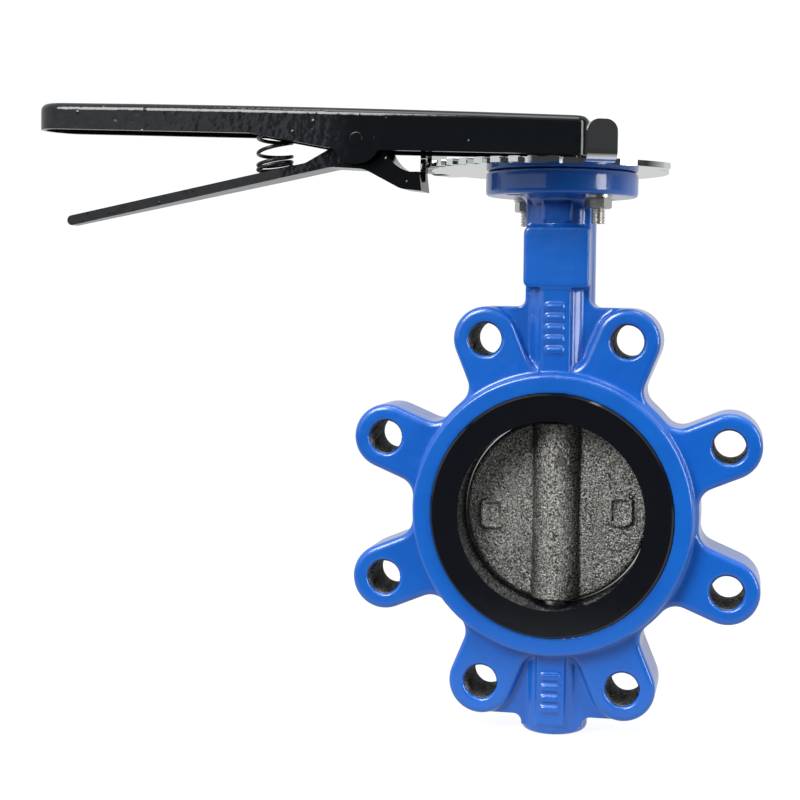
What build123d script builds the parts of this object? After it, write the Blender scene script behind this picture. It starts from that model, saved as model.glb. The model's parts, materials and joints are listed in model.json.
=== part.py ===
"""Lug-type butterfly valve, DN80, closed, with a hand lever and a notch plate.

The origin is the centre of the pipe bore. +Z runs up the stem and +Y along the pipe.
At rest the disc is closed and the lever points to -X. Lengths are in millimetres.
"""

import os
from math import cos, radians, sin

from build123d import *

# ---- driving dimensions ------------------------------------------------------

fit_gap = 0.02  # between pieces that are assembled tight
running_gap = 0.05  # between pieces that turn on each other
bolt_clearance = 0.3  # between a bolt and its plain hole

# flange connection: DN80, PN16
bolt_circle_radius = 80.0
lug_count = 8
first_lug_angle = 22.5
lug_end_radius = 14.0
lug_thickness = 28.6
lug_thread_radius = 6.92  # minor radius of an M16 thread
lug_hole_chamfer = 1.2

# body ring
ring_radius = 62.0
rim_radius = 60.0
rim_width = 43.0
lug_root_fillet = 8.0
cast_edge = 2.5
web_height = 88.0
web_thickness = 20.0
web_half_width = 31.0
web_fillet = 3.5

# rubber seat
seat_width = 46.0
seat_radius = 51.8
seat_bore_radius = 40.0
seat_rib_radius = 54.5
seat_rib_width = 12.0
seat_lip_chamfer = 0.8

# neck and stem boss
neck_radius = 15.2
neck_pad_half_width = 14.1
neck_pad_front = 17.0
neck_pad_bottom = 96.2
neck_pad_top = 122.4
neck_pad_edge = 1.0
neck_pad_corner = 3.0
strip_half_width = 6.5
strip_front = 16.2
strip_bottom = 58.0
plaque_width = 12.2
plaque_front = 15.8
plaque_bottom = 124.7
plaque_top = 132.3
boss_bottom = -95.5
boss_web_bottom = -92.4
boss_radius = 14.4
boss_strip_half_width = 6.0
boss_strip_front = 15.2
boss_strip_bottom = -91.0

# raised cast bars on the neck strip and on the boss strip
cast_bar_width = 7.0
cast_bar_height = 2.4
cast_bar_proud = 1.1
cast_bar_pitch = 4.6
neck_bar_count = 5
neck_bar_centre = 79.0
boss_bar_count = 4
boss_bar_centre = -77.0

# top flange: ISO 5211, F05
flange_radius = 33.0
flange_bottom = 135.5
flange_top = 146.0
flange_edge = 1.6
flange_bolt_circle_radius = 25.0
flange_hole_radius = 3.5
neck_flange_fillet = 4.0

# stem and its bore
stem_radius = 7.0
stem_bore_radius = 9.0
stem_bottom = -86.0
stem_bore_bottom = -87.5
stem_shoulder = 149.0
stem_top = 160.0
stem_square = 11.0
stem_screw_depth = 13.0

# disc
disc_sphere_radius = 39.8
disc_centre_thickness = 9.0
disc_rim_thickness = 6.0
disc_hub_radius = 11.0
disc_hub_half_height = 39.6
disc_rim_edge = 2.0
taper_pin_radius = 2.0
taper_pin_place = (2.8, 21.7)
taper_pin_length = 21.0
taper_pin_chamfer = 0.3

# square cast marks on the face of each wing of the disc
disc_mark_places = [(-28.0, -2.5), (28.0, 0.5)]
disc_mark_width = 10.5
disc_mark_height = 13.0
disc_mark_corner = 3.0
disc_mark_line = 1.7
disc_mark_front = 4.5

# bushings, seals and the stem's retainer
upper_bushing_span = (100.0, 122.0)
middle_bushing_span = (57.0, 80.0)
bottom_bushing_span = (-86.0, -62.0)
seal_section_radius = 1.18
seal_heights = (126.0, 131.0)
retainer_pocket_radius = 12.0
retainer_pocket_floor = 141.0
thrust_washer_thickness = 1.5
circlip_radius = 9.8
circlip_thickness = 1.0
circlip_gap = 5.0
circlip_groove_radius = 6.3

# notch plate
plate_thickness = 2.4
plate_tip_radius = 61.5
plate_floor_radius = 56.5
plate_back_radius = 46.0
plate_shoulder_radius = 54.0
plate_shoulder_half_angle = 110.0
toothed_half_angle = 51.0
plate_corner = 2.5
notch_count = 13  # one every 7.5 degrees
notch_width = 4.0
open_angle = 90.0
lever_start_angle = 180.0
stop_half_angle = 66.0
stop_tab_radius = 66.0
stop_tab_width = 12.2
stop_tab_corner = 4.8
stop_tab_top = 162.7
stop_bend_radius = 2.5
plate_centre_hole_radius = 7.6

# flange bolts: M6 x 25
bolt_radius = 3.0
bolt_length = 25.0
bolt_head_height = 4.0
bolt_head_chamfer = 0.6
bolt_end_chamfer = 0.5
hexagon_width = 10.0
nut_height = 4.6
washer_radius = 6.0
washer_thickness = 1.2
bolt_angles = (-45.0, 135.0)

# lever handle
lever_left = -240.5
lever_right = 12.2
lever_half_width = 13.5
lever_wall = 2.2
lever_top_left = 176.9
lever_top_right = 169.7
lever_crown = 0.85  # rise of the top face above a straight line
grip_bottom = 165.1
grip_end = (-137.5, 162.6)
skirt_start = (-98.0, 155.4)
skirt_bottom_right = 152.9
ear_radius = 11.0
lever_corner = 6.0
lever_top_edge = 3.2
lever_inner_edge = 1.0
pivot = (-88.8, 160.0)
guide_bottom = 152.3
guide_top = 171.2

# hub block that carries the stem's square
hub_left = -15.0
hub_right = 9.0
hub_half_width = 11.0
hub_corner = 4.0

# lever screw: countersunk M6
screw_radius = 3.0
screw_head_radius = 6.0
screw_head_top = 170.5
screw_length = 16.0
screw_socket_width = 4.0
screw_socket_depth = 2.0

# trigger: its outline is seen from the front
trigger_half_width = 8.5
trigger_ear_radius = 8.4
trigger_boss_radius = 6.5
trigger_boss_half_width = 11.1
trigger_tip = (-225.0, 124.1)
trigger_tip_radius = 2.3
trigger_tip_half_width = 3.2
trigger_taper_start = -125.0
arm_low_end = (-101.5, 148.0)
arm_high_end = (-113.0, 149.8)
crook_low = (-86.5, 147.2)
crook_high = (-100.3, 157.0)
claw_low = (-70.0, 138.6)
claw_end_low = (-60.6, 137.6)
claw_end_high = (-61.6, 146.0)
claw_high = (-66.0, 146.0)
throat_middle = (-72.3, 149.1)
throat_high = (-76.8, 155.3)
arm_bend = 12.0
claw_bend = 9.0
shoulder_bend = 6.0
latch_half_width = 1.7
latch_left = -62.6
latch_right = -60.2
latch_bottom = 142.0
latch_top = 152.0
pivot_pin_radius = 2.5
pivot_head_radius = 2.9
pivot_head_thickness = 0.6
pivot_head_edge = 0.4

# trigger spring
spring_x = -129.7
spring_radius = 7.5
spring_wire_radius = 0.85
spring_bottom = 149.1
spring_top = 171.0
spring_turns = 4.5

# ---- values that follow from the dimensions above ----------------------------

plate_top = flange_top + plate_thickness
bolt_places = [
    (flange_bolt_circle_radius * cos(radians(a)), flange_bolt_circle_radius * sin(radians(a)))
    for a in bolt_angles
]
circlip_bottom = retainer_pocket_floor + thrust_washer_thickness + running_gap
plate_axis_angle = lever_start_angle + open_angle / 2


def lever_top_at(x):
    """Height of the lever's crowned top face above a point on the X axis."""
    share = (x - lever_left) / (lever_right - lever_left)
    straight = lever_top_left + share * (lever_top_right - lever_top_left)
    return straight + 4 * lever_crown * share * (1 - share)


def tube(outer_radius, inner_radius, bottom, top):
    """A plain bush, washer or sleeve on the Z axis."""
    with BuildPart() as sleeve:
        with BuildSketch(Plane.XY.offset(bottom)):
            Circle(outer_radius)
            Circle(inner_radius, mode=Mode.SUBTRACT)
        extrude(amount=top - bottom)
    return sleeve.part


def finish(part, name):
    """Label one piece and write it to its own STEP file."""
    part.label = name
    export_step(part, f"parts/{name}.step")


os.makedirs("parts", exist_ok=True)

# ---- valve body --------------------------------------------------------------

with BuildPart() as valve_body:
    # ring and lugs share one outline, seen along the pipe
    with BuildSketch(Plane.XZ) as lug_outline:
        Circle(ring_radius)
        with PolarLocations(bolt_circle_radius, lug_count, start_angle=first_lug_angle):
            Circle(lug_end_radius)
        with PolarLocations(bolt_circle_radius / 2, lug_count, start_angle=first_lug_angle):
            Rectangle(bolt_circle_radius, 2 * lug_end_radius)
        roots = [
            v
            for v in lug_outline.vertices()
            if abs(Vector(v).length - ring_radius) < 1
        ]
        fillet(roots, lug_root_fillet)
    extrude(amount=lug_thickness / 2, both=True)
    lug_faces = valve_body.faces().filter_by(Axis.Y)
    fillet([edge for face in lug_faces for edge in face.edges()], cast_edge)

    # the rim stands proud of the lugs on both sides
    with BuildSketch(Plane.XZ):
        Circle(rim_radius)
    extrude(amount=rim_width / 2, both=True)
    rim_edges = valve_body.edges().filter_by(GeomType.CIRCLE)
    rim_edges = [e for e in rim_edges if abs(abs(e.center().Y) - rim_width / 2) < 0.1]
    fillet(rim_edges, flange_edge)

    # webs join the upper and the lower pair of lugs to the neck and to the boss
    with BuildSketch(Plane.XZ) as web_outline:
        Rectangle(2 * web_half_width, 2 * web_height)
        with Locations((0, (web_height + flange_bottom) / 2)):
            Rectangle(2 * neck_radius - cast_edge, flange_bottom - web_height)
        with Locations((0, (boss_web_bottom - web_height) / 2)):
            Rectangle(2 * boss_radius - cast_edge, abs(boss_web_bottom + web_height))
        inner_corners = [
            v
            for v in web_outline.vertices()
            if abs(abs(v.Y) - web_height) < 1 and abs(v.X) < web_half_width - 1
        ]
        fillet(inner_corners, web_fillet)
    extrude(amount=web_thickness / 2, both=True)

    # neck up to the top flange, and the boss that closes the stem bore below
    with BuildSketch(Plane.XY):
        Circle(neck_radius)
    extrude(amount=flange_top)
    with BuildSketch(Plane.XY):
        Circle(boss_radius)
    extrude(amount=boss_bottom)
    boss_edges = valve_body.faces().sort_by(Axis.Z)[0].edges()
    fillet(boss_edges, cast_edge)

    # top flange, with a soft fillet under it
    with BuildSketch(Plane.XY.offset(flange_bottom)):
        Circle(flange_radius)
    extrude(amount=flange_top - flange_bottom)
    flange_edges = valve_body.edges().filter_by(GeomType.CIRCLE)
    flange_edges = [
        e for e in flange_edges if abs(e.radius - flange_radius) < 0.1 and e.center().Z > flange_bottom - 1
    ]
    fillet(flange_edges, flange_edge)
    with BuildSketch(Plane.XZ) as neck_root:
        with BuildLine():
            corner = (neck_radius - 1, flange_bottom)
            low = (neck_radius - 1, flange_bottom - neck_flange_fillet)
            low_out = (neck_radius, flange_bottom - neck_flange_fillet)
            high = (neck_radius + neck_flange_fillet, flange_bottom)
            Polyline(high, corner, low, low_out)
            RadiusArc(low_out, high, neck_flange_fillet)
        make_face()
    revolve(axis=Axis.Z)

    # square pad, raised strip and small plaque on the front of the neck
    with BuildSketch(Plane.XZ):
        with Locations((0, (neck_pad_top + neck_pad_bottom) / 2)):
            RectangleRounded(
                2 * neck_pad_half_width, neck_pad_top - neck_pad_bottom, neck_pad_corner
            )
    extrude(amount=neck_pad_front)
    pad_face = valve_body.faces().filter_by(Axis.Y).sort_by(Axis.Z)
    pad_face = [f for f in pad_face if abs(f.center().Y + neck_pad_front) < 0.01]
    fillet([e for f in pad_face for e in f.edges()], neck_pad_edge)
    with BuildSketch(Plane.XZ):
        with Locations((0, (neck_pad_bottom + strip_bottom) / 2)):
            Rectangle(2 * strip_half_width, neck_pad_bottom - strip_bottom)
    extrude(amount=strip_front)
    with BuildSketch(Plane.XZ):
        with Locations((0, (plaque_top + plaque_bottom) / 2)):
            Rectangle(plaque_width, plaque_top - plaque_bottom)
    extrude(amount=plaque_front)
    with BuildSketch(Plane.XZ):
        with Locations((0, (boss_strip_bottom - strip_bottom) / 2)):
            Rectangle(2 * boss_strip_half_width, abs(boss_strip_bottom + strip_bottom))
    extrude(amount=boss_strip_front)

    # cast bars on both strips
    with BuildSketch(Plane.XZ):
        with Locations((0, neck_bar_centre)):
            with GridLocations(1, cast_bar_pitch, 1, neck_bar_count):
                Rectangle(cast_bar_width, cast_bar_height)
    extrude(amount=strip_front + cast_bar_proud)
    with BuildSketch(Plane.XZ):
        with Locations((0, boss_bar_centre)):
            with GridLocations(1, cast_bar_pitch, 1, boss_bar_count):
                Rectangle(cast_bar_width, cast_bar_height)
    extrude(amount=boss_strip_front + cast_bar_proud)

    # bore for the seat, with the groove for its rib
    with BuildSketch(Plane.XZ):
        Circle(seat_radius)
    extrude(amount=seat_width, both=True, mode=Mode.SUBTRACT)
    with BuildSketch(Plane.XZ):
        Circle(seat_rib_radius)
    extrude(amount=seat_rib_width / 2, both=True, mode=Mode.SUBTRACT)

    # bore for the stem, with a pocket for its retainer
    with BuildSketch(Plane.XY.offset(stem_bore_bottom)):
        Circle(stem_bore_radius)
    extrude(amount=flange_top - stem_bore_bottom, mode=Mode.SUBTRACT)
    with BuildSketch(Plane.XY.offset(retainer_pocket_floor)):
        Circle(retainer_pocket_radius)
    extrude(amount=flange_top - retainer_pocket_floor, mode=Mode.SUBTRACT)

    # actuator bolt holes in the top flange
    with BuildSketch(Plane.XY.offset(flange_bottom)):
        with PolarLocations(flange_bolt_circle_radius, 4, start_angle=45):
            Circle(flange_hole_radius)
    extrude(amount=flange_top - flange_bottom, mode=Mode.SUBTRACT)

    # tapped lug holes, chamfered at both mouths
    with BuildSketch(Plane.XZ):
        with PolarLocations(bolt_circle_radius, lug_count, start_angle=first_lug_angle):
            Circle(lug_thread_radius)
    extrude(amount=lug_thickness, both=True, mode=Mode.SUBTRACT)
    hole_edges = valve_body.edges().filter_by(GeomType.CIRCLE)
    hole_edges = [
        e
        for e in hole_edges
        if abs(e.radius - lug_thread_radius) < 0.01 and abs(abs(e.center().Y) - lug_thickness / 2) < 0.01
    ]
    chamfer(hole_edges, lug_hole_chamfer)
finish(valve_body.part, "valve_body")

# ---- seat --------------------------------------------------------------------

with BuildPart() as seat:
    with BuildSketch(Plane.XZ):
        Circle(seat_radius - fit_gap)
    extrude(amount=seat_width / 2, both=True)
    lip_edges = seat.edges().filter_by(GeomType.CIRCLE)
    chamfer(lip_edges, seat_lip_chamfer)
    with BuildSketch(Plane.XZ):
        Circle(seat_rib_radius - fit_gap)
    extrude(amount=seat_rib_width / 2 - fit_gap, both=True)
    with BuildSketch(Plane.XZ):
        Circle(seat_bore_radius)
    extrude(amount=seat_width, both=True, mode=Mode.SUBTRACT)
    with BuildSketch(Plane.XY.offset(-bolt_circle_radius)):
        Circle(stem_radius + running_gap)
    extrude(amount=2 * bolt_circle_radius, mode=Mode.SUBTRACT)
finish(seat.part, "seat")

# ---- disc and stem -----------------------------------------------------------

with BuildPart() as disc:
    # a plate that thins towards its rim, turned about the pipe axis
    with BuildSketch(Plane.XY):
        with BuildLine():
            Polyline(
                (0, -disc_centre_thickness / 2),
                (disc_sphere_radius, -disc_rim_thickness / 2),
                (disc_sphere_radius, disc_rim_thickness / 2),
                (0, disc_centre_thickness / 2),
                close=True,
            )
        make_face()
    revolve(axis=Axis.Y)
    fillet(disc.faces().filter_by(GeomType.CYLINDER).edges(), disc_rim_edge)
    with BuildSketch(Plane.XY.offset(-disc_hub_half_height)):
        Circle(disc_hub_radius)
    extrude(amount=2 * disc_hub_half_height)
    Sphere(disc_sphere_radius, mode=Mode.INTERSECT)

    # a square frame stands proud of each wing, on both faces
    with BuildSketch(Plane.XZ):
        with Locations(*disc_mark_places):
            RectangleRounded(disc_mark_width, disc_mark_height, disc_mark_corner)
            RectangleRounded(
                disc_mark_width - 2 * disc_mark_line,
                disc_mark_height - 2 * disc_mark_line,
                disc_mark_corner - disc_mark_line,
                mode=Mode.SUBTRACT,
            )
    extrude(amount=disc_mark_front, both=True)

    # bores for the stem and for the taper pin
    with BuildSketch(Plane.XY.offset(-bolt_circle_radius)):
        Circle(stem_radius + fit_gap)
    extrude(amount=2 * bolt_circle_radius, mode=Mode.SUBTRACT)
    with BuildSketch(Plane.XZ):
        with Locations(taper_pin_place):
            Circle(taper_pin_radius + fit_gap)
    extrude(amount=disc_hub_radius + 1, both=True, mode=Mode.SUBTRACT)
finish(disc.part, "disc")

with BuildPart() as stem:
    with BuildSketch(Plane.XY.offset(stem_bottom)):
        Circle(stem_radius)
    extrude(amount=stem_top - stem_bottom)
    # four flats make the square that drives the lever
    with BuildSketch(Plane.XY.offset(stem_shoulder)):
        Circle(stem_radius + 1)
        Rectangle(stem_square, stem_square, mode=Mode.SUBTRACT)
    extrude(amount=stem_top - stem_shoulder, mode=Mode.SUBTRACT)
    for height in seal_heights:
        with BuildSketch(Plane.XY.offset(height - 1.5 * seal_section_radius)):
            Circle(stem_radius + 1)
            Circle(stem_bore_radius - 2 * seal_section_radius - 2 * fit_gap, mode=Mode.SUBTRACT)
        extrude(amount=3 * seal_section_radius, mode=Mode.SUBTRACT)
    with BuildSketch(Plane.XY.offset(circlip_bottom - fit_gap)):
        Circle(stem_radius + 1)
        Circle(circlip_groove_radius, mode=Mode.SUBTRACT)
    extrude(amount=circlip_thickness + 2 * fit_gap, mode=Mode.SUBTRACT)
    with BuildSketch(Plane.XZ):
        with Locations(taper_pin_place):
            Circle(taper_pin_radius + fit_gap)
    extrude(amount=disc_hub_radius, both=True, mode=Mode.SUBTRACT)
    with BuildSketch(Plane.XY.offset(stem_top - stem_screw_depth)):
        Circle(screw_radius + fit_gap)
    extrude(amount=stem_screw_depth, mode=Mode.SUBTRACT)
finish(stem.part, "stem")

with BuildPart() as disc_taper_pin:
    with BuildSketch(Plane.XZ.offset(-taper_pin_length / 2)):
        with Locations(taper_pin_place):
            Circle(taper_pin_radius)
    extrude(amount=taper_pin_length)
    chamfer(disc_taper_pin.edges().filter_by(GeomType.CIRCLE), taper_pin_chamfer)
finish(disc_taper_pin.part, "disc_taper_pin")

# ---- bushings, seals and retainer --------------------------------------------

for name, (bottom, top) in {
    "upper_bushing": upper_bushing_span,
    "middle_bushing": middle_bushing_span,
    "bottom_bushing": bottom_bushing_span,
}.items():
    finish(tube(stem_bore_radius - fit_gap, stem_radius + running_gap, bottom, top), name)

with BuildPart() as stem_seals:
    for height in seal_heights:
        with BuildSketch(Plane.XZ):
            with Locations((stem_bore_radius - seal_section_radius - fit_gap, height)):
                Circle(seal_section_radius)
        revolve(axis=Axis.Z)
finish(stem_seals.part, "stem_seals")

thrust_washer = tube(
    retainer_pocket_radius - 0.3,
    stem_radius + running_gap,
    retainer_pocket_floor + fit_gap,
    retainer_pocket_floor + thrust_washer_thickness,
)
finish(thrust_washer, "thrust_washer")

with BuildPart() as stem_circlip:
    with BuildSketch(Plane.XY.offset(circlip_bottom)):
        Circle(circlip_radius)
        Circle(circlip_groove_radius + fit_gap, mode=Mode.SUBTRACT)
        with Locations((circlip_radius, 0)):
            Rectangle(circlip_radius, circlip_gap, mode=Mode.SUBTRACT)
    extrude(amount=circlip_thickness)
finish(stem_circlip.part, "stem_circlip")

# ---- notch plate and its bolts -----------------------------------------------


def sector(radius, half_angle):
    """A pie slice about the plate's axis of symmetry."""
    start = plate_axis_angle - half_angle
    with BuildSketch() as pie:
        with BuildLine():
            arc = CenterArc((0, 0), radius, start, 2 * half_angle)
            Line((0, 0), arc @ 0)
            Line(arc @ 1, (0, 0))
        make_face()
    return pie.sketch


def stop_tab(angle):
    """A tab bent up at the plate's edge, which stops the lever at one end of its travel."""
    bend_start = stop_tab_radius - plate_thickness - stop_bend_radius
    with BuildPart() as tab:
        with BuildSketch(Plane.XZ):
            with BuildLine():
                bend = RadiusArc(
                    (bend_start, flange_top),
                    (stop_tab_radius, flange_top + plate_thickness + stop_bend_radius),
                    -(plate_thickness + stop_bend_radius),
                )
                Polyline(
                    bend @ 1,
                    (stop_tab_radius, stop_tab_top),
                    (stop_tab_radius - plate_thickness, stop_tab_top),
                    (stop_tab_radius - plate_thickness, plate_top + stop_bend_radius),
                )
                inner_bend = RadiusArc(
                    (stop_tab_radius - plate_thickness, plate_top + stop_bend_radius),
                    (bend_start, plate_top),
                    stop_bend_radius,
                )
                Polyline(inner_bend @ 1, (0, plate_top), (0, flange_top), bend @ 0)
            make_face()
        extrude(amount=stop_tab_width / 2, both=True)
        top_corners = tab.edges().filter_by(Axis.X).group_by(Axis.Z)[-1]
        fillet(top_corners, stop_tab_corner)
    return tab.part.rotate(Axis.Z, angle)


with BuildPart() as notch_plate:
    with BuildSketch(Plane.XY.offset(flange_top)) as plate_outline:
        Circle(plate_back_radius)
        add(sector(plate_tip_radius, toothed_half_angle))
        add(sector(plate_shoulder_radius, plate_shoulder_half_angle))
        corners = [v for v in plate_outline.vertices() if Vector(v).length < plate_shoulder_radius + 1]
        fillet(corners, plate_corner)
        with PolarLocations(
            plate_tip_radius, notch_count, lever_start_angle, open_angle, endpoint=True
        ):
            Rectangle(2 * (plate_tip_radius - plate_floor_radius), notch_width, mode=Mode.SUBTRACT)
    extrude(amount=plate_thickness)
    for side in (-1, 1):
        add(stop_tab(plate_axis_angle + side * stop_half_angle))
    with BuildSketch(Plane.XY.offset(flange_top)):
        Circle(plate_centre_hole_radius)
        with Locations(*bolt_places):
            Circle(bolt_radius + bolt_clearance)
    extrude(amount=plate_thickness, mode=Mode.SUBTRACT)
finish(notch_plate.part, "notch_plate")

with BuildPart() as plate_bolts:
    with BuildSketch(Plane.XY.offset(plate_top)):
        with Locations(*bolt_places):
            RegularPolygon(hexagon_width / 2, 6, major_radius=False)
    extrude(amount=bolt_head_height)
    head_edges = plate_bolts.edges().group_by(Axis.Z)[-1]
    chamfer(head_edges, bolt_head_chamfer)
    with BuildSketch(Plane.XY.offset(plate_top - bolt_length)):
        with Locations(*bolt_places):
            Circle(bolt_radius)
    extrude(amount=bolt_length)
    chamfer(plate_bolts.edges().group_by(Axis.Z)[0], bolt_end_chamfer)
finish(plate_bolts.part, "plate_bolts")

with BuildPart() as plate_washers:
    with BuildSketch(Plane.XY.offset(flange_bottom - washer_thickness)):
        with Locations(*bolt_places):
            Circle(washer_radius)
            Circle(bolt_radius + bolt_clearance, mode=Mode.SUBTRACT)
    extrude(amount=washer_thickness)
finish(plate_washers.part, "plate_washers")

with BuildPart() as plate_nuts:
    with BuildSketch(Plane.XY.offset(flange_bottom - washer_thickness - nut_height)):
        with Locations(*bolt_places):
            RegularPolygon(hexagon_width / 2, 6, major_radius=False)
            Circle(bolt_radius + fit_gap, mode=Mode.SUBTRACT)
    extrude(amount=nut_height)
finish(plate_nuts.part, "plate_nuts")

# ---- lever -------------------------------------------------------------------


def pressed_form(inset, edge):
    """The lever's outer form, or the form of its hollow when inset by the wall's thickness."""
    half_width = lever_half_width - inset
    left = lever_left + inset
    right = lever_right - inset
    with BuildPart() as form:
        with BuildSketch(Plane.XZ):
            with BuildLine():
                crown = ThreePointArc(
                    *((x, lever_top_at(x) - inset) for x in (left, (left + right) / 2, right))
                )
                Polyline(
                    crown @ 1,
                    (right, skirt_bottom_right - inset),
                    (skirt_start[0], skirt_start[1] - inset),
                    (grip_end[0], grip_end[1] - inset),
                    (left, grip_bottom - inset),
                    crown @ 0,
                )
            make_face()
            with Locations(pivot):
                Circle(ear_radius + inset)
        extrude(amount=half_width, both=True)
        with BuildSketch(Plane.XY):
            with Locations(((left + half_width + right) / 2, 0)):
                Rectangle(right - left - half_width, 2 * half_width)
            with Locations((left + half_width, 0)):
                Circle(half_width)
        extrude(amount=lever_top_left + 1, mode=Mode.INTERSECT)
        upright_corners = form.edges().filter_by(Axis.Z).group_by(Axis.X)[-1]
        fillet(upright_corners, lever_corner - inset)
        fillet(form.faces().sort_by(Axis.Z)[-1].edges(), edge)
    return form.part


with BuildPart() as lever_handle:
    add(pressed_form(0, lever_top_edge))
    add(pressed_form(lever_wall, lever_inner_edge), mode=Mode.SUBTRACT)
    # a tongue hangs from the top, in line with the latch
    with BuildSketch(Plane.XZ):
        with Locations(((latch_left + latch_right) / 2, (guide_bottom + guide_top) / 2)):
            Rectangle(latch_right - latch_left, guide_top - guide_bottom)
    extrude(amount=latch_half_width, both=True)
    with BuildSketch(Plane.XZ):
        with Locations(pivot):
            Circle(pivot_pin_radius + fit_gap)
    extrude(amount=lever_half_width + 1, both=True, mode=Mode.SUBTRACT)
    with Locations((0, 0, screw_head_top)):
        CounterSinkHole(
            screw_radius + bolt_clearance,
            screw_head_radius + fit_gap,
            depth=screw_length,
            counter_sink_angle=90,
        )
finish(lever_handle.part, "lever_handle")

with BuildPart() as lever_hub:
    with BuildSketch(Plane.XZ):
        with BuildLine():
            Polyline(
                (hub_left, stem_shoulder),
                (hub_left, lever_top_at(hub_left) - lever_wall - fit_gap),
                (hub_right, lever_top_at(hub_right) - lever_wall - fit_gap),
                (hub_right, stem_shoulder),
                close=True,
            )
        make_face()
    extrude(amount=hub_half_width, both=True)
    fillet(lever_hub.edges().filter_by(Axis.Z), hub_corner)
    chamfer(lever_hub.faces().sort_by(Axis.Z)[-1].edges(), lever_inner_edge + 0.2)
    with BuildSketch(Plane.XY.offset(stem_shoulder)):
        Rectangle(stem_square + 2 * running_gap, stem_square + 2 * running_gap)
    extrude(amount=stem_top - stem_shoulder + running_gap, mode=Mode.SUBTRACT)
    with Locations((0, 0, screw_head_top)):
        CounterSinkHole(
            screw_radius + bolt_clearance,
            screw_head_radius + fit_gap,
            depth=screw_length,
            counter_sink_angle=90,
        )
finish(lever_hub.part, "lever_hub")

with BuildPart() as lever_screw:
    with BuildSketch(Plane.XZ):
        with BuildLine():
            Polyline(
                (0, screw_head_top),
                (screw_head_radius, screw_head_top),
                (screw_radius, screw_head_top - screw_head_radius + screw_radius),
                (screw_radius, screw_head_top - screw_length),
                (0, screw_head_top - screw_length),
                close=True,
            )
        make_face()
    revolve(axis=Axis.Z)
    with BuildSketch(Plane.XY.offset(screw_head_top)):
        RegularPolygon(screw_socket_width / 2, 6, major_radius=False)
    extrude(amount=-screw_socket_depth, mode=Mode.SUBTRACT)
finish(lever_screw.part, "lever_screw")

# ---- trigger -----------------------------------------------------------------

with BuildPart() as trigger_lever:
    with BuildSketch(Plane.XZ) as trigger_outline:
        with BuildLine():
            tip_low = (trigger_tip[0], trigger_tip[1] - trigger_tip_radius)
            tip_high = (trigger_tip[0], trigger_tip[1] + trigger_tip_radius)
            Polyline(tip_low, arm_low_end, crook_low, claw_low, claw_end_low, claw_end_high, claw_high)
            ThreePointArc(claw_high, throat_middle, throat_high)
            Polyline(throat_high, pivot, crook_high, arm_high_end, tip_high)
            ThreePointArc(tip_high, (trigger_tip[0] - trigger_tip_radius, trigger_tip[1]), tip_low)
        make_face()
        for corner, bend in (
            (arm_low_end, arm_bend),
            (crook_low, arm_bend),
            (claw_low, claw_bend),
            (arm_high_end, shoulder_bend),
        ):
            fillet(trigger_outline.vertices().sort_by_distance((*corner, 0))[0], bend)
        with Locations(pivot):
            Circle(trigger_ear_radius)
    extrude(amount=trigger_half_width, both=True)
    # the arm narrows towards its tip
    tip_end = trigger_tip[0] - trigger_tip_radius
    with BuildSketch(Plane.XY):
        for side in (-1, 1):
            Polygon(
                (trigger_taper_start, side * trigger_half_width),
                (tip_end, side * trigger_half_width),
                (tip_end, side * trigger_tip_half_width),
                align=None,
            )
    extrude(amount=pivot[1], both=True, mode=Mode.SUBTRACT)
    # the latch that enters a notch
    with BuildSketch(Plane.XZ):
        with Locations(((latch_left + latch_right) / 2, (latch_top + latch_bottom) / 2)):
            Rectangle(latch_right - latch_left, latch_top - latch_bottom)
    extrude(amount=latch_half_width, both=True)
    with BuildSketch(Plane.XZ):
        with Locations(pivot):
            Circle(trigger_boss_radius)
    extrude(amount=trigger_boss_half_width, both=True)
    with BuildSketch(Plane.XZ):
        with Locations(pivot):
            Circle(pivot_pin_radius + running_gap)
    extrude(amount=lever_half_width, both=True, mode=Mode.SUBTRACT)
finish(trigger_lever.part, "trigger_lever")

with BuildPart() as trigger_pivot_pin:
    with BuildSketch(Plane.XZ):
        with Locations(pivot):
            Circle(pivot_pin_radius)
    extrude(amount=lever_half_width + pivot_head_thickness, both=True)
    for side in (-1, 1):
        with BuildSketch(Plane.XZ.offset(side * (lever_half_width + fit_gap))):
            with Locations(pivot):
                Circle(pivot_head_radius)
        extrude(amount=side * pivot_head_thickness)
    head_edges = trigger_pivot_pin.faces().filter_by(Axis.Y).sort_by(Axis.Y)
    fillet([*head_edges[0].edges(), *head_edges[-1].edges()], pivot_head_edge)
finish(trigger_pivot_pin.part, "trigger_pivot_pin")

with BuildPart() as trigger_spring:
    with BuildLine() as coil:
        Helix(
            pitch=(spring_top - spring_bottom) / spring_turns,
            height=spring_top - spring_bottom,
            radius=spring_radius,
            center=(spring_x, 0, spring_bottom),
        )
    with BuildSketch(Plane(coil.line @ 0, z_dir=coil.line % 0)):
        Circle(spring_wire_radius)
    sweep(is_frenet=True)
finish(trigger_spring.part, "trigger_spring")
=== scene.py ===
"""Looks of the lug-type butterfly valve: soft castings, threads, a coil spring and every material.

Lengths are in metres, in the frame of the CAD model: +Z up the stem, +Y along the pipe.
"""

import json
import math

import bmesh
import bpy
from mathutils import Matrix, Vector


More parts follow.
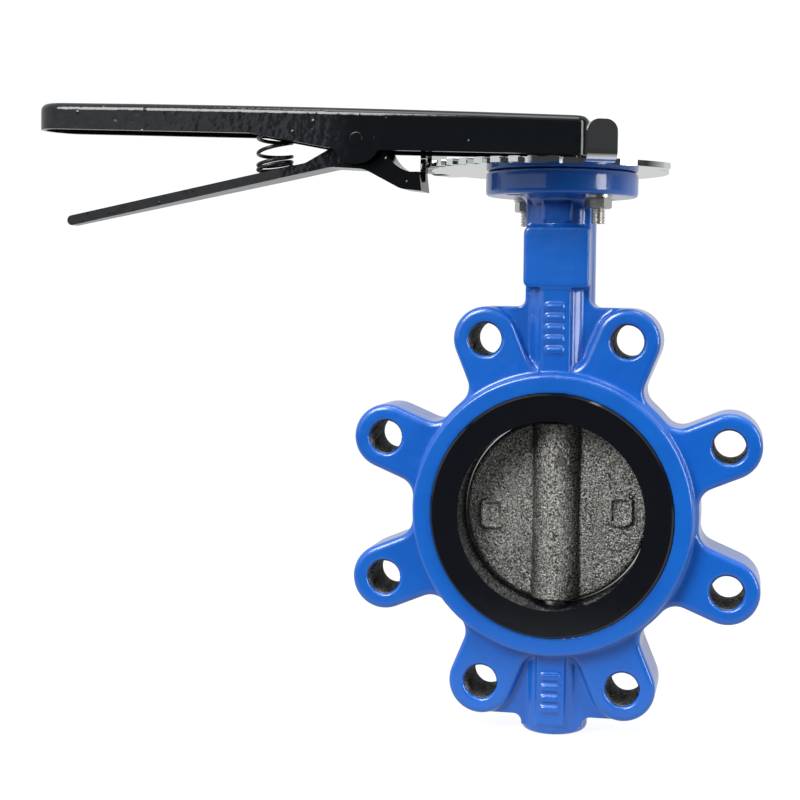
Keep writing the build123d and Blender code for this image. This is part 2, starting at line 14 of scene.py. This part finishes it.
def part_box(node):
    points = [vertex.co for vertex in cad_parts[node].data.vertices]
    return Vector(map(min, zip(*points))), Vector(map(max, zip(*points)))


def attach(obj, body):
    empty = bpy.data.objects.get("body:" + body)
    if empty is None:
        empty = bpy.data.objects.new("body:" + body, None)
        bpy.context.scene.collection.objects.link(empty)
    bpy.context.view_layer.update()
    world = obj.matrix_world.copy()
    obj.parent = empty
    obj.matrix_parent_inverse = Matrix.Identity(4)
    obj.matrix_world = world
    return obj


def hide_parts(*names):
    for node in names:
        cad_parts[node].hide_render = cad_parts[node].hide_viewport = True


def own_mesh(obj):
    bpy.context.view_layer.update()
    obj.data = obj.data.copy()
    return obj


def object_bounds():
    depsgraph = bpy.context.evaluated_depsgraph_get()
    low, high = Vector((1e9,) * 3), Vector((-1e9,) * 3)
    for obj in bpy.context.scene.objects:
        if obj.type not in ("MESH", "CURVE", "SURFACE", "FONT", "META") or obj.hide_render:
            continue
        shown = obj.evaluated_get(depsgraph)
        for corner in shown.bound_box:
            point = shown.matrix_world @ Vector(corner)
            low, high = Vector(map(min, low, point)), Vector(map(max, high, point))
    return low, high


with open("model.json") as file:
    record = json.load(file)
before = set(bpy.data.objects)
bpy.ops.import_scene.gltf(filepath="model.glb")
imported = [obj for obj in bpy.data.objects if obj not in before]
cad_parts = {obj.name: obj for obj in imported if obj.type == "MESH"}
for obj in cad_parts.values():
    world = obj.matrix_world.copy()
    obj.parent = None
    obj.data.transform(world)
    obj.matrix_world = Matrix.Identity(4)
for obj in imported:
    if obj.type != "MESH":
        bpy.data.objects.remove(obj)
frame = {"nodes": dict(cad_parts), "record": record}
cad_low, cad_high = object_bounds()

MM = 0.001
ROOT = "body_assembly"
LEVER = "lever_and_disc"
record = frame["record"]
nodes = frame["nodes"]
mounts = {mount["name"]: mount for mount in record["mounts"]}


# ---- node graphs for materials -----------------------------------------------


def connect(links, socket, value):
    """Put a constant, a colour or another node's output into a socket."""
    if isinstance(value, bpy.types.NodeSocket):
        links.new(value, socket)
    elif isinstance(value, tuple) and len(value) == 3 and socket.type == "RGBA":
        socket.default_value = (*value, 1.0)
    else:
        socket.default_value = value


class Finish:
    """A material under construction: short names for the shader nodes that the finishes share."""

    def __init__(self, name, **settings):
        self.material = bpy.data.materials.new(name)
        self.material.use_nodes = True
        self.nodes = self.material.node_tree.nodes
        self.links = self.material.node_tree.links
        self.shader = self.nodes["Principled BSDF"]
        for key, value in settings.items():
            self.set(key, value)
        self.place = self.nodes.new("ShaderNodeTexCoord").outputs["Object"]
        self.normal = None

    def set(self, key, value):
        """Set or link one input of the main shader, named in lower case with underscores."""
        names = {
            "colour": "Base Color",
            "metallic": "Metallic",
            "roughness": "Roughness",
            "coat": "Coat Weight",
            "coat_roughness": "Coat Roughness",
            "specular": "Specular IOR Level",
        }
        self.feed(self.shader.inputs[names[key]], value)

    def feed(self, socket, value):
        """Put a constant, a colour or another node's output into a socket of this material."""
        connect(self.links, socket, value)

    def stretched(self, scale):
        """The object's coordinates, scaled by a different amount along each axis."""
        node = self.nodes.new("ShaderNodeMapping")
        node.inputs["Scale"].default_value = scale
        self.links.new(self.place, node.inputs["Vector"])
        return node.outputs["Vector"]

    def noise(self, size_mm, detail=2.0, roughness=0.5, at=None):
        """Smooth noise from 0 to 1 whose features are about size_mm across."""
        node = self.nodes.new("ShaderNodeTexNoise")
        node.inputs["Scale"].default_value = 1 / (size_mm * MM)
        node.inputs["Detail"].default_value = detail
        node.inputs["Roughness"].default_value = roughness
        self.links.new(at or self.place, node.inputs["Vector"])
        return node.outputs["Fac"]

    def cells(self, size_mm):
        """Distance from the nearest of many points that are about size_mm apart."""
        node = self.nodes.new("ShaderNodeTexVoronoi")
        node.inputs["Scale"].default_value = 1 / (size_mm * MM)
        self.links.new(self.place, node.inputs["Vector"])
        return node.outputs["Distance"]

    def spread(self, value, low, high, out_low=0.0, out_high=1.0):
        """Stretch the range low to high over out_low to out_high, clamped."""
        node = self.nodes.new("ShaderNodeMapRange")
        self.feed(node.inputs["Value"], value)
        node.inputs["From Min"].default_value = low
        node.inputs["From Max"].default_value = high
        node.inputs["To Min"].default_value = out_low
        node.inputs["To Max"].default_value = out_high
        return node.outputs["Result"]

    def blend(self, share, first, second):
        """Mix two colours by a share from 0 to 1."""
        node = self.nodes.new("ShaderNodeMix")
        node.data_type = "RGBA"
        self.feed(node.inputs["Factor"], share)
        first_colour, second_colour = [socket for socket in node.inputs if socket.type == "RGBA"]
        self.feed(first_colour, first)
        self.feed(second_colour, second)
        return next(socket for socket in node.outputs if socket.type == "RGBA")

    def along(self, axis):
        """The object's coordinate along one axis, in metres."""
        node = self.nodes.new("ShaderNodeSeparateXYZ")
        self.links.new(self.place, node.inputs["Vector"])
        return node.outputs[axis]

    def product(self, first, second):
        """first times second."""
        node = self.nodes.new("ShaderNodeMath")
        node.operation = "MULTIPLY"
        self.feed(node.inputs[0], first)
        self.feed(node.inputs[1], second)
        return node.outputs[0]

    def bump(self, height, depth_mm):
        """Raise the surface by a height from 0 to 1, times depth_mm. Calls stack."""
        node = self.nodes.new("ShaderNodeBump")
        node.inputs["Strength"].default_value = 1.0
        node.inputs["Distance"].default_value = depth_mm * MM
        self.feed(node.inputs["Height"], height)
        if self.normal is not None:
            self.links.new(self.normal, node.inputs["Normal"])
        self.normal = node.outputs["Normal"]
        self.links.new(self.normal, self.shader.inputs["Normal"])


def blue_epoxy():
    """Thick glossy epoxy over a sand casting: slow waves, a fine orange peel and small pits."""
    finish = Finish("blue_epoxy", roughness=0.30, coat=0.75, coat_roughness=0.05)
    deep, bright = (0.002, 0.092, 0.46), (0.004, 0.135, 0.58)
    finish.set("colour", finish.blend(finish.noise(22, 3), deep, bright))
    finish.bump(finish.noise(10, 2), 0.45)
    finish.bump(finish.noise(2.4, 2), 0.04)
    pits = finish.spread(finish.cells(6.5), 0.0, 0.07)
    finish.bump(pits, 0.05)
    return finish.material


def seat_rubber():
    """Moulded black rubber: polished by the mould, a little greasy."""
    finish = Finish("seat_rubber", specular=0.55)
    deep, pale = (0.003, 0.004, 0.006), (0.006, 0.007, 0.010)
    finish.set("colour", finish.blend(finish.noise(14, 4), deep, pale))
    finish.set("roughness", finish.spread(finish.noise(8, 5, 0.6), 0.3, 0.7, 0.06, 0.15))
    finish.bump(finish.noise(6, 2), 0.05)
    return finish.material


def cast_nickel():
    """Sand casting under bright nickel plate: sharp dark grains that glint."""
    finish = Finish("cast_nickel", metallic=1.0)
    grains = finish.noise(0.75, 3, 0.65)
    shade = finish.spread(grains, 0.40, 0.64)
    finish.set("colour", finish.blend(shade, (0.05, 0.05, 0.047), (0.60, 0.59, 0.55)))
    finish.set("roughness", finish.spread(finish.noise(0.5, 2), 0.3, 0.7, 0.20, 0.40))
    finish.bump(finish.noise(5, 2), 0.5)
    finish.bump(grains, 0.62)
    return finish.material


def stainless():
    """Machined stainless steel with fine turning marks."""
    finish = Finish("stainless", metallic=1.0, colour=(0.62, 0.61, 0.58))
    marks = finish.noise(0.25, 3, at=finish.stretched((1.0, 1.0, 6.0)))
    finish.set("roughness", finish.spread(marks, 0.3, 0.7, 0.20, 0.36))
    finish.bump(marks, 0.012)
    return finish.material


def bright_plate():
    """Bright plated sheet: mirror-like, with a faint haze and rolling marks."""
    finish = Finish("bright_plate", metallic=1.0)
    haze = finish.noise(11, 4, 0.6)
    finish.set("colour", finish.blend(haze, (0.78, 0.80, 0.80), (0.88, 0.89, 0.88)))
    finish.set("roughness", finish.spread(haze, 0.3, 0.75, 0.02, 0.08))
    finish.bump(finish.noise(9, 2), 0.015)
    return finish.material


def black_paint():
    """Thick black gloss paint, sprayed wet: lumps of orange peel, most at the grip, and dust nibs. The
    lumps are also painted paler than the black, as painted highlights on the grip end.
    """
    finish = Finish("black_paint", roughness=0.10, specular=0.45)
    grip_end, smooth_start = -102 * MM, -90 * MM
    grip = finish.spread(finish.along("X"), grip_end, smooth_start, 1.0, 0.12)
    peel_and_painted_highlights = finish.product(finish.noise(3.2, 1.5, 0.5), grip)
    # the paler colour of the lumps is painted highlight, strongest at the grip end; their bump below is
    # real orange peel
    finish.set("colour", finish.blend(peel_and_painted_highlights, (0.003, 0.004, 0.005), (0.015, 0.017, 0.020)))
    finish.bump(peel_and_painted_highlights, 0.22)
    finish.bump(finish.noise(16, 2), 0.2)
    nibs = finish.spread(finish.cells(9.0), 0.10, 0.0)
    finish.bump(nibs, 0.14)
    return finish.material


def black_spring():
    """Black coated spring wire."""
    finish = Finish("black_spring", roughness=0.3)
    finish.set("colour", finish.blend(finish.noise(3, 3), (0.006, 0.006, 0.007), (0.02, 0.02, 0.02)))
    finish.bump(finish.noise(0.5, 2), 0.02)
    return finish.material


def bushing_polymer():
    """Natural bearing polymer."""
    finish = Finish("bushing_polymer", roughness=0.45)
    finish.set("colour", finish.blend(finish.noise(4, 3), (0.62, 0.60, 0.54), (0.72, 0.70, 0.65)))
    finish.bump(finish.noise(0.8, 2), 0.01)
    return finish.material


def seal_rubber():
    """Black seal rubber."""
    finish = Finish("seal_rubber", roughness=0.4)
    finish.set("colour", finish.blend(finish.noise(2, 3), (0.008, 0.008, 0.009), (0.02, 0.02, 0.02)))
    finish.bump(finish.noise(0.4, 2), 0.01)
    return finish.material


def cut_thread():
    """Bare cast iron where the thread was cut: dark, oily and bright on the crests."""
    finish = Finish("cut_thread", metallic=0.85)
    finish.set("colour", finish.blend(finish.noise(1.6, 4), (0.03, 0.03, 0.032), (0.16, 0.16, 0.16)))
    finish.set("roughness", finish.spread(finish.noise(1.2, 3), 0.3, 0.7, 0.22, 0.42))
    finish.bump(finish.noise(0.5, 3), 0.05)
    return finish.material


FINISHES = {
    "blue_epoxy": blue_epoxy(),
    "seat_rubber": seat_rubber(),
    "cast_nickel": cast_nickel(),
    "stainless": stainless(),
    "bright_plate": bright_plate(),
    "black_paint": black_paint(),
    "black_spring": black_spring(),
    "bushing_polymer": bushing_polymer(),
    "seal_rubber": seal_rubber(),
}
CUT_THREAD = cut_thread()


def paint(piece, material):
    """Give a piece one material."""
    piece.data.materials.clear()
    piece.data.materials.append(material)


# ---- mesh helpers ------------------------------------------------------------


def new_piece(name, points, faces, smooth=True):
    """A mesh object from lists of points in metres and faces."""
    mesh = bpy.data.meshes.new(name)
    mesh.from_pydata(points, [], faces)
    mesh.validate()
    builder = bmesh.new()
    builder.from_mesh(mesh)
    bmesh.ops.recalc_face_normals(builder, faces=builder.faces)
    builder.to_mesh(mesh)
    builder.free()
    for polygon in mesh.polygons:
        polygon.use_smooth = smooth
    piece = bpy.data.objects.new(name, mesh)
    bpy.context.scene.collection.objects.link(piece)
    return piece


def copy_of(node, name):
    """A free copy of a CAD node, to be reshaped."""
    piece = nodes[node].copy()
    piece.data = nodes[node].data.copy()
    piece.name = name
    piece.parent = None
    for key in list(piece.keys()):
        del piece[key]
    bpy.context.scene.collection.objects.link(piece)
    return piece


def bake(piece):
    """Apply all modifiers to the piece's mesh."""
    graph = bpy.context.evaluated_depsgraph_get()
    mesh = bpy.data.meshes.new_from_object(piece.evaluated_get(graph))
    piece.modifiers.clear()
    piece.data = mesh
    return piece


def join(pieces):
    """Merge several mesh objects into the first."""
    with bpy.context.temp_override(active_object=pieces[0], selected_editable_objects=pieces):
        bpy.ops.object.join()
    return pieces[0]


def recast(piece, voxel_mm, rounds):
    """Remesh a piece and relax it, so that its edges turn soft as on a casting."""
    remesh = piece.modifiers.new("remesh", "REMESH")
    remesh.mode = "VOXEL"
    remesh.voxel_size = voxel_mm * MM
    relax = piece.modifiers.new("relax", "SMOOTH")
    relax.factor = 0.5
    relax.iterations = rounds
    bake(piece)
    for polygon in piece.data.polygons:
        polygon.use_smooth = True
    return piece


def cut(piece, cutter, operation="DIFFERENCE"):
    """Subtract one closed mesh from another, or keep what they share."""
    boolean = piece.modifiers.new("cut", "BOOLEAN")
    boolean.operation = operation
    boolean.solver = "EXACT"
    boolean.object = cutter
    bake(piece)
    bpy.data.objects.remove(cutter)
    return piece


def on_circle(radius, angle, height):
    """A point at a radius and angle about the Z axis."""
    return Vector((radius * math.cos(angle), radius * math.sin(angle), height))


def turned(name, profile, centre, axis, sides):
    """A closed (radius, height) profile in metres, turned about an axis through centre."""
    turn = Vector(axis).to_track_quat("Z", "Y").to_matrix().to_4x4()
    place = Matrix.Translation(centre) @ turn
    points = []
    for i in range(sides):
        angle = 2 * math.pi * i / sides
        points += [place @ on_circle(radius, angle, height) for radius, height in profile]
    count = len(profile)
    faces = []
    for i in range(sides):
        a, b = i * count, (i + 1) % sides * count
        faces += [
            (a + j, a + (j + 1) % count, b + (j + 1) % count, b + j) for j in range(count)
        ]
    return new_piece(name, points, faces)


def screw_thread(name, centre, axis, length, crest, root, back, pitch):
    """A threaded skin between the crest and root radii, closed at its back radius.

    With the back outside the thread it lines a tapped hole, and with the back at 0 it is a bolt's shank.
    """
    sides, rows = 48, 6
    flank_slope, flat_share = 2.6, 0.3
    turn = Vector(axis).to_track_quat("Z", "Y").to_matrix().to_4x4()
    place = Matrix.Translation(centre) @ turn
    levels = int(length / pitch * rows)
    points = []
    for level in range(levels + 1):
        height = length * level / levels - length / 2
        for i in range(sides):
            angle = 2 * math.pi * i / sides
            phase = (height / pitch - i / sides) % 1
            share = min(1, max(0, abs(phase - 0.5) * flank_slope - flat_share))
            radius = crest + (root - crest) * share
            points.append(place @ on_circle(radius, angle, height))
    for height in (-length / 2, length / 2):
        for i in range(sides):
            points.append(place @ on_circle(back, 2 * math.pi * i / sides, height))
    faces = []
    for level in range(levels):
        for i in range(sides):
            a, b = level * sides + i, level * sides + (i + 1) % sides
            faces.append((a, b, b + sides, a + sides))
    low_ring, high_ring = (levels + 1) * sides, (levels + 2) * sides
    for i in range(sides):
        j = (i + 1) % sides
        faces.append((low_ring + i, low_ring + j, j, i))
        faces.append((levels * sides + i, levels * sides + j, high_ring + j, high_ring + i))
        faces.append((low_ring + j, low_ring + i, high_ring + i, high_ring + j))
    return new_piece(name, points, faces)


def tube_along(name, path, radius):
    """A round wire along a path of points, closed at both ends."""
    sides = 12
    points, faces = [], []
    for i, here in enumerate(path):
        ahead = path[min(i + 1, len(path) - 1)] - path[max(i - 1, 0)]
        across = ahead.normalized().cross(Vector((0, 0, 1))).normalized()
        up = across.cross(ahead.normalized())
        for k in range(sides):
            angle = 2 * math.pi * k / sides
            points.append(here + across * radius * math.cos(angle) + up * radius * math.sin(angle))
    for i in range(len(path) - 1):
        for k in range(sides):
            a, b = i * sides + k, i * sides + (k + 1) % sides
            faces.append((a, b, b + sides, a + sides))
    faces.append(tuple(range(sides)))
    faces.append(tuple(range(len(points) - sides, len(points))))
    return new_piece(name, points, faces)


# ---- valve body --------------------------------------------------------------

lug_bolts = mounts["lug_bolts"]["dims"]
lug_radius = lug_bolts["pcd_mm"] / 2 * MM
lug_count = lug_bolts["count"]
minor_radius = lug_bolts["hole_r_mm"] * MM
major_radius = 8.0 * MM
thread_pitch = 2.0 * MM
cavity_radius = 8.4 * MM
sleeve_overlap = 0.3 * MM
lug_half = 14.3 * MM
lug_rim = 1.35 * MM
cavity_half = lug_half - lug_rim
body_voxel_mm = 0.65


def lug_centres():
    """The centres of the lug holes, seen along the pipe."""
    for i in range(lug_count):
        angle = 2 * math.pi * (i + 0.5) / lug_count
        yield Vector((lug_radius * math.cos(angle), 0, lug_radius * math.sin(angle)))


def solid(profile, name, centre, axis, sides=48):
    """A turned solid whose profile runs up its outside, closed on the axis."""
    low, high = profile[0][1], profile[-1][1]
    core = 0.01 * MM
    return turned(name, [(core, low), *profile, (core, high)], centre, axis, sides)


def build_body():
    """The casting with soft edges, wider inside the lugs where the threads are."""
    body = copy_of("valve_body", "valve_casting")
    outline = [(cavity_radius, -cavity_half), (cavity_radius, cavity_half)]
    for i, centre in enumerate(lug_centres()):
        cut(body, solid(outline, f"cavity_{i}", centre, (0, 1, 0)))
    recast(body, body_voxel_mm, 3)
    paint(body, FINISHES["blue_epoxy"])
    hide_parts("valve_body")
    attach(body, ROOT)


def build_lug_threads():
    """The M16 threads cut in the eight lugs."""
    sleeves = [
        screw_thread(
            f"lug_thread_{i}", centre, (0, 1, 0), 2 * cavity_half,
            minor_radius, major_radius, cavity_radius + sleeve_overlap, thread_pitch,
        )
        for i, centre in enumerate(lug_centres())
    ]
    threads = join(sleeves)
    threads.name = "lug_threads"
    paint(threads, CUT_THREAD)
    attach(threads, ROOT)


build_body()
build_lug_threads()

# ---- disc --------------------------------------------------------------------

disc_voxel_mm = 0.5


def build_disc():
    """The disc with cast fillets between its hub and its wings."""
    disc = copy_of("disc", "disc_casting")
    recast(disc, disc_voxel_mm, 5)
    paint(disc, FINISHES["cast_nickel"])
    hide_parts("disc")
    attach(disc, LEVER)


build_disc()

# ---- flange bolts and nuts ---------------------------------------------------

bolt_radius = 3.0 * MM
bolt_root = 2.3 * MM
bolt_pitch = 1.25 * MM
hexagon_radius = 5.0 * MM / math.cos(math.pi / 6)
washer_radius = 6.0 * MM
nut_chamfer = 0.55 * MM
head_chamfer = 0.4 * MM
head_height = 4.0 * MM


def bolt_centres():
    """The axes of the two flange bolts, from the box that holds both washers."""
    low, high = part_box("plate_washers")
    yield Vector((high.x - washer_radius, low.y + washer_radius, 0))
    yield Vector((low.x + washer_radius, high.y - washer_radius, 0))


def hexagon_round(name, bottom, top, chamfer, centre):
    """A turned blank that rounds off the corners of a hexagon at both ends."""
    clear, slant = 0.05 * MM, 1.6
    full, small = hexagon_radius + clear, hexagon_radius - slant * chamfer
    profile = [(small, bottom), (full, bottom + chamfer), (full, top - chamfer), (small, top)]
    return solid(profile, name, centre, (0, 0, 1), 64)


def build_nuts():
    """Hexagon nuts with chamfered corners."""
    low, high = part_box("plate_nuts")
    nuts = copy_of("plate_nuts", "flange_nuts")
    blanks = [
        hexagon_round(f"nut_blank_{i}", low.z, high.z, nut_chamfer, centre)
        for i, centre in enumerate(bolt_centres())
    ]
    cut(nuts, join(blanks), "INTERSECT")
    paint(nuts, FINISHES["stainless"])
    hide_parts("plate_nuts")
    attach(nuts, ROOT)


def build_bolts():
    """Hexagon bolts with their thread showing below the nuts."""
    low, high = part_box("plate_bolts")
    nut_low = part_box("plate_nuts")[0].z
    thread_top = nut_low + 1.5 * MM
    up = (0, 0, 1)
    pieces = []
    for i, centre in enumerate(bolt_centres()):
        middle = centre + Vector((0, 0, (low.z + thread_top) / 2))
        pieces.append(screw_thread(
            f"bolt_thread_{i}", middle, up, thread_top - low.z,
            bolt_radius, bolt_root, 0, bolt_pitch,
        ))
        shank = [(bolt_radius, thread_top), (bolt_radius, high.z - head_height / 2)]
        pieces.append(solid(shank, f"bolt_shank_{i}", centre, up))
        head = hexagon_round(f"bolt_head_{i}", high.z - head_height, high.z, head_chamfer, centre)
        hexagon = copy_of("plate_bolts", f"bolt_hexagon_{i}")
        cut(head, hexagon, "INTERSECT")
        pieces.append(head)
    bolts = join(pieces)
    bolts.name = "flange_bolts"
    paint(bolts, FINISHES["stainless"])
    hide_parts("plate_bolts")
    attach(bolts, ROOT)


build_nuts()
build_bolts()

# ---- trigger spring ----------------------------------------------------------


def build_spring():
    """A coil that is closed and leaning at its lower end and open towards the handle."""
    low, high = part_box("trigger_spring")
    wire = 0.85 * MM
    coil_radius = (high.x - low.x) / 2 - wire
    centre = (low + high) / 2
    closed_turns, open_turns = 1.9, 3.0
    steps_per_turn = 40
    arm_slope = 0.21
    end_gap = 1.05 * wire
    bottom, top = low.z + end_gap, high.z - end_gap
    closed_rise = closed_turns * 2 * end_gap
    open_rise = top - bottom - closed_rise
    path = []
    for step in range(int((closed_turns + open_turns) * steps_per_turn) + 1):
        turn = step / steps_per_turn
        height = bottom + closed_rise * min(turn / closed_turns, 1)
        height += open_rise * max(turn - closed_turns, 0) / open_turns
        angle = 2 * math.pi * turn
        lean = arm_slope * coil_radius * (1 - math.cos(angle)) * (top - height) / (top - bottom)
        path.append(Vector((centre.x, centre.y, 0)) + on_circle(coil_radius, angle, height - lean))
    spring = tube_along("spring_coil", path, wire)
    paint(spring, FINISHES["black_spring"])
    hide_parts("trigger_spring")
    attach(spring, LEVER)
    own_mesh(spring)


build_spring()

# ---- CAD nodes that keep their shape -----------------------------------------

EDGE_MM = {
    "notch_plate": 0.45,
    "lever_handle": 0.35,
    "trigger_lever": 1.0,
    "seat": 0.45,
    "plate_washers": 0.2,
}
for subpart in record["subparts"]:
    node = nodes[subpart["node"]]
    paint(node, FINISHES[subpart["material_slot"]])
    edge = EDGE_MM.get(subpart["node"])
    if edge:
        bevel = node.modifiers.new("edge", "BEVEL")
        bevel.width = edge * MM
        bevel.segments = 2
        bevel.limit_method = "ANGLE"
        bevel.angle_limit = math.radians(35)
        bevel.harden_normals = True

# ---- studio ------------------------------------------------------------------


def by_ray(tree, links, seen, other):
    """Show one shader to the camera and another to every other ray."""
    path = tree.new("ShaderNodeLightPath")
    mix = tree.new("ShaderNodeMixShader")
    links.new(path.outputs["Is Camera Ray"], mix.inputs["Fac"])
    links.new(other, mix.inputs[1])
    links.new(seen, mix.inputs[2])
    return mix.outputs["Shader"]


def floor_paper():
    """White paper that is almost burnt out for the camera and a soft grey in reflections."""
    finish = Finish("floor_paper", roughness=0.9)
    finish.set("colour", finish.blend(finish.noise(120, 3), (0.86, 0.87, 0.88), (0.90, 0.90, 0.91)))
    glow = finish.nodes.new("ShaderNodeEmission")
    glow.inputs["Strength"].default_value = 1.12
    blend = finish.nodes.new("ShaderNodeMixShader")
    blend.inputs["Fac"].default_value = 0.82
    finish.links.new(finish.shader.outputs["BSDF"], blend.inputs[1])
    finish.links.new(glow.outputs["Emission"], blend.inputs[2])
    dim = finish.nodes.new("ShaderNodeEmission")
    finish.feed(dim.inputs["Strength"], finish.spread(finish.along("Y"), -0.32, -0.06, 0.04, 0.66))
    output = finish.nodes["Material Output"]
    shader = by_ray(finish.nodes, finish.links, blend.outputs["Shader"], dim.outputs["Emission"])
    finish.links.new(shader, output.inputs["Surface"])
    return finish.material


def build_floor():
    """A plain pale floor that curves up into a backdrop."""
    floor_z = cad_low.z - 0.5 * MM
    back, rise, radius, half_width = 1.6, 2.0, 0.8, 6.0
    outline = [(-6.0, floor_z), (back, floor_z)]
    for step in range(1, 17):
        angle = math.pi / 2 * step / 16
        outline.append((back + radius * math.sin(angle), floor_z + radius * (1 - math.cos(angle))))
    outline.append((back + radius, floor_z + rise))
    points = [(x, y, z) for y, z in outline for x in (-half_width, half_width)]
    faces = [(2 * i, 2 * i + 1, 2 * i + 3, 2 * i + 2) for i in range(len(outline) - 1)]
    floor = new_piece("floor", points, faces)
    paint(floor, floor_paper())


def add_light(name, place, target, size, watts):
    """A rectangular soft box that faces the target."""
    light = bpy.data.lights.new(name, "AREA")
    light.shape = "RECTANGLE"
    light.size, light.size_y = size
    light.energy = watts
    holder = bpy.data.objects.new(name, light)
    holder.location = place
    holder.rotation_euler = (Vector(target) - Vector(place)).to_track_quat("-Z", "Y").to_euler()
    bpy.context.scene.collection.objects.link(holder)


def build_world():
    """White for the camera; for every other ray a dark studio, paler behind, overhead and far left."""
    world = bpy.data.worlds.new("studio")
    world.use_nodes = True
    tree, links = world.node_tree.nodes, world.node_tree.links
    direction = tree.new("ShaderNodeSeparateXYZ")
    links.new(tree.new("ShaderNodeTexCoord").outputs["Generated"], direction.inputs["Vector"])
    dark = 0.05
    # axis of the direction, where the brightness starts to rise, where it is full, and how full
    rises = (("Y", 0.0, 0.5, 0.70), ("Z", 0.30, 0.8, 0.80), ("X", -0.285, -0.325, 0.72))
    strength = dark
    for axis, start, end, pale in rises:
        share = tree.new("ShaderNodeMapRange")
        links.new(direction.outputs[axis], share.inputs["Value"])
        share.inputs["From Min"].default_value, share.inputs["From Max"].default_value = start, end
        share.inputs["To Min"].default_value, share.inputs["To Max"].default_value = dark, pale
        brighter = tree.new("ShaderNodeMath")
        brighter.operation = "MAXIMUM"
        links.new(share.outputs["Result"], brighter.inputs[0])
        connect(links, brighter.inputs[1], strength)
        strength = brighter.outputs[0]
    studio = tree["Background"]
    connect(links, studio.inputs["Color"], (0.94, 0.97, 1.0))
    connect(links, studio.inputs["Strength"], strength)
    white = tree.new("ShaderNodeBackground")
    connect(links, white.inputs["Color"], (1.0, 1.0, 1.0))
    shader = by_ray(tree, links, white.outputs[0], studio.outputs[0])
    links.new(shader, tree["World Output"].inputs["Surface"])
    bpy.context.scene.world = world
    bpy.context.scene.view_settings.view_transform = "Standard"


def build_studio():
    """Soft boxes left, right and above, in a dark room with a white backdrop."""
    centre = (cad_low + cad_high) / 2
    add_light("left_box", (-0.63, -1.08, 0.82), centre, (0.6, 0.7), 18)
    add_light("right_box", (1.10, -0.45, 0.35), centre, (0.35, 0.8), 7)
    add_light("top_box", (0.0, -0.35, 1.3), centre, (1.0, 0.7), 9)
    build_world()


def hold_shift(camera, channel, value):
    """Shift the lens one way, but only while the camera stands at its own place.

    The picture is an off-centre crop of a wider view. From any other place the valve is centred.
    """
    curve = camera.data.driver_add(channel)
    curve.driver.type = "AVERAGE"
    variable = curve.driver.variables.new()
    variable.type = "TRANSFORMS"
    variable.targets[0].id = camera
    variable.targets[0].transform_type = "LOC_X"
    for modifier in list(curve.modifiers):
        curve.modifiers.remove(modifier)
    reach = 0.02
    for steps, shift in ((-2, 0.0), (-1, value), (1, value), (2, 0.0)):
        key = curve.keyframe_points.insert(camera.location.x + steps * reach, shift)
        key.interpolation = "LINEAR"


def build_camera():
    """A long lens in front of the valve, a little to its right and above the bore."""
    yaw, pitch, roll = 0.1725, -0.0246, 0.0141
    level_forward = Vector((-math.sin(yaw), math.cos(yaw), 0))
    forward = level_forward * math.cos(pitch) + Vector((0, 0, math.sin(pitch)))
    level_right = Vector((math.cos(yaw), math.sin(yaw), 0))
    level_up = level_right.cross(forward)
    right = level_right * math.cos(roll) + level_up * math.sin(roll)
    up = level_up * math.cos(roll) - level_right * math.sin(roll)
    lens = bpy.data.cameras.new("camera")
    lens.lens = 68.48
    lens.sensor_width = 36.0
    lens.clip_start, lens.clip_end = 0.01, 50.0
    camera = bpy.data.objects.new("camera", lens)
    turn = Matrix((right, up, -forward)).transposed()
    place = Vector((0.0840, -0.6565, 0.0962))
    camera.matrix_world = Matrix.Translation(place) @ turn.to_4x4()
    bpy.context.scene.collection.objects.link(camera)
    bpy.context.scene.camera = camera
    hold_shift(camera, "shift_x", -0.1139)
    hold_shift(camera, "shift_y", -0.0943)


build_floor()
build_studio()
build_camera()
